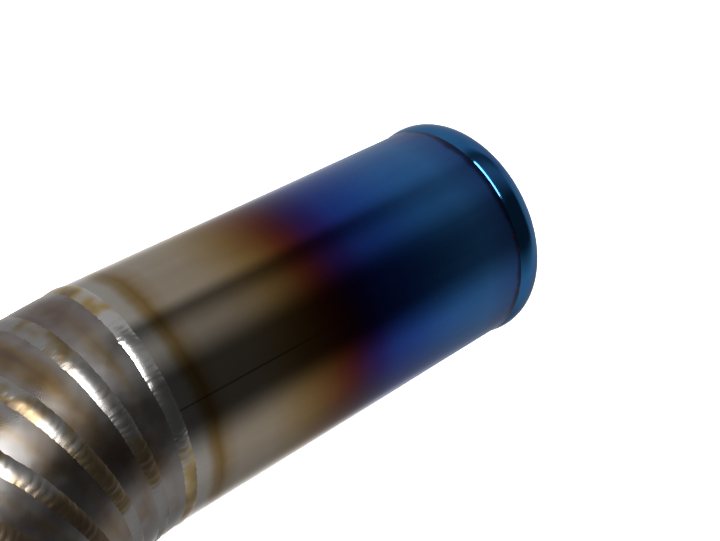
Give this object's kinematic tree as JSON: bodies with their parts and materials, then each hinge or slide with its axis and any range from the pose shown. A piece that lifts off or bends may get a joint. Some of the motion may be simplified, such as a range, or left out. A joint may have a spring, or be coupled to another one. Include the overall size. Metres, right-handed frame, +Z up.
{
  "type": "exhaust muffler",
  "caption": "Round slip-on motorcycle muffler with a pie-cut welded tail bend and a straight heat-blued outlet with a bull-nosed end ring.",
  "frame": {"origin": "centre of the inlet mouth, where the header pipe goes in", "axes": "+X along the can from the inlet towards the tail; the tail bends 45 degrees towards -Y in the XY plane; +Z up, on the hanger's side"},
  "size_m": [0.4995, 0.1769, 0.169],
  "materials": {
    "titanium_tube": "satin titanium, as welded, with heat tint",
    "titanium_blued": "polished titanium, heat coloured blue to gold",
    "titanium_weld": "bright ripple weld bead",
    "can_titanium": "lengthwise brushed titanium",
    "inner_steel": "perforated stainless, heat stained",
    "plated_fastener": "bright zinc plate",
    "strap_steel": "satin stainless",
    "baffle_steel": "turned stainless, sooted",
    "rubber_black": "matt black",
    "graphite": "pressed graphite and steel mesh",
    "wool": "stainless steel wool",
    "fibre": "basalt and glass fibre mat"
  },
  "bodies": {
    "root": {"outlet_tube": "titanium_blued", "outlet_ring": "titanium_blued", "rear_cone": "titanium_tube", "front_cone": "titanium_tube", "inlet_sleeve": "titanium_tube", "screw_boss": "titanium_tube", "pie_segment_1": "titanium_tube", "pie_segment_2": "titanium_tube", "pie_segment_3": "titanium_tube", "pie_segment_4": "titanium_tube", "pie_segment_5": "titanium_tube", "bend_weld_1": "titanium_weld", "bend_weld_2": "titanium_weld", "bend_weld_3": "titanium_weld", "bend_weld_4": "titanium_weld", "bend_weld_5": "titanium_weld", "bend_weld_6": "titanium_weld", "can_front_weld": "titanium_weld", "can_rear_weld": "titanium_weld", "inlet_weld": "titanium_weld", "can_shell": "can_titanium", "core_tube": "inner_steel", "core_front_collar": "inner_steel", "core_rear_collar": "inner_steel", "baffle_screw": "plated_fastener", "clamp_bolt": "plated_fastener", "clamp_nut": "plated_fastener", "clamp_washers": "plated_fastener", "strap_bolt": "plated_fastener", "strap_nut": "plated_fastener", "strap_washers": "plated_fastener", "strap_spacer": "plated_fastener", "hanger_sleeve": "plated_fastener", "clamp_band": "strap_steel", "strap_band": "strap_steel", "hanger_plate": "strap_steel", "strap_liner": "rubber_black", "hanger_bush": "rubber_black", "inlet_gasket": "graphite", "steel_wool": "wool", "packing": "fibre"},
    "baffle": {"baffle_collar": "baffle_steel", "baffle_plate": "baffle_steel", "baffle_tube": "baffle_steel", "baffle_cap": "baffle_steel"}
  },
  "joints": [
    {"name": "baffle_slide", "type": "slide", "parent": "root", "child": "baffle", "axis": [0.7071, -0.7071, 0], "range_m": [0, 0.11]}
  ]
}
